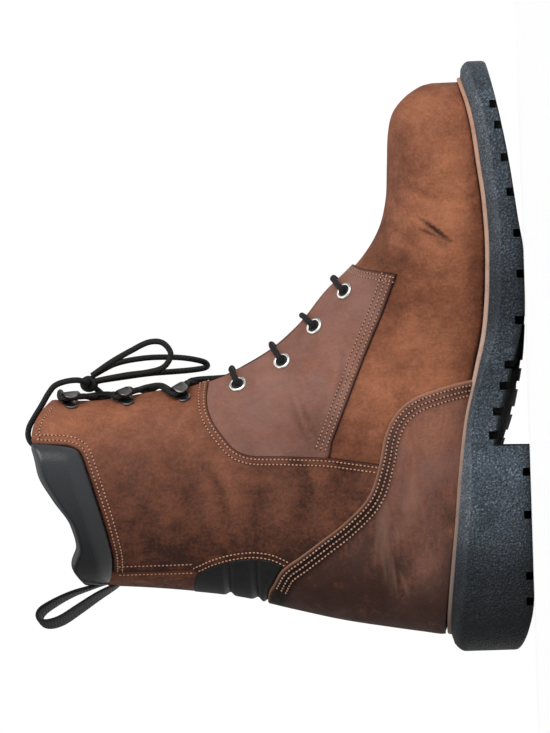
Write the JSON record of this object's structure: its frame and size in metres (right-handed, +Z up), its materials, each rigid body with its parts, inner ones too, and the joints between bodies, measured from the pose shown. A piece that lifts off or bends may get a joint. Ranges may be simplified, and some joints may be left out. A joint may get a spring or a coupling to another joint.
{
  "type": "work boot",
  "caption": "Left lace-up leather work boot, hollow and open at the collar, with padded collar, eyelets and lace hooks, pull loop, welt and lug sole with heel.",
  "frame": {"origin": "on the floor under the middle of the heel, at the heel_tread mount", "axes": "+X from heel to toe, +Y to the outer (left) side of this left boot, +Z up"},
  "size_m": [0.3062, 0.1083, 0.2644],
  "materials": {
    "upper_leather": "oiled",
    "overlay_leather": "oiled",
    "collar_leather": "satin",
    "sole_rubber": "pebbled",
    "welt_leather": "raw edge",
    "insole_fabric": "matt",
    "tongue_leather": "oiled",
    "flex_fabric": "ribbed",
    "webbing": "woven",
    "eyelet_metal": "nickel",
    "hook_metal": "dark nickel",
    "lace_cord": "waxed"
  },
  "bodies": {
    "root": {"outsole": "sole_rubber", "welt": "welt_leather", "insole": "insole_fabric", "upper": "upper_leather", "tongue": "tongue_leather", "eyestay_inner": "overlay_leather", "eyestay_outer": "overlay_leather", "counter": "overlay_leather", "backstay": "overlay_leather", "flex_panel": "flex_fabric", "collar_pad": "collar_leather", "pull_loop": "webbing", "eyelet_inner_1": "eyelet_metal", "eyelet_inner_2": "eyelet_metal", "eyelet_inner_3": "eyelet_metal", "eyelet_inner_4": "eyelet_metal", "eyelet_outer_1": "eyelet_metal", "eyelet_outer_2": "eyelet_metal", "eyelet_outer_3": "eyelet_metal", "eyelet_outer_4": "eyelet_metal", "hook_inner_1": "hook_metal", "hook_inner_2": "hook_metal", "hook_inner_3": "hook_metal", "hook_outer_1": "hook_metal", "hook_outer_2": "hook_metal", "hook_outer_3": "hook_metal", "lace_crossing_1": "lace_cord", "lace_crossing_2": "lace_cord", "lace_crossing_3": "lace_cord", "lace_crossing_4": "lace_cord", "lace_crossing_5": "lace_cord", "lace_crossing_6": "lace_cord", "lace_top_bar": "lace_cord", "lace_knot": "lace_cord", "lace_loop_front": "lace_cord", "lace_loop_far": "lace_cord", "lace_end_inner": "lace_cord", "lace_end_outer": "lace_cord"}
  },
  "joints": []
}
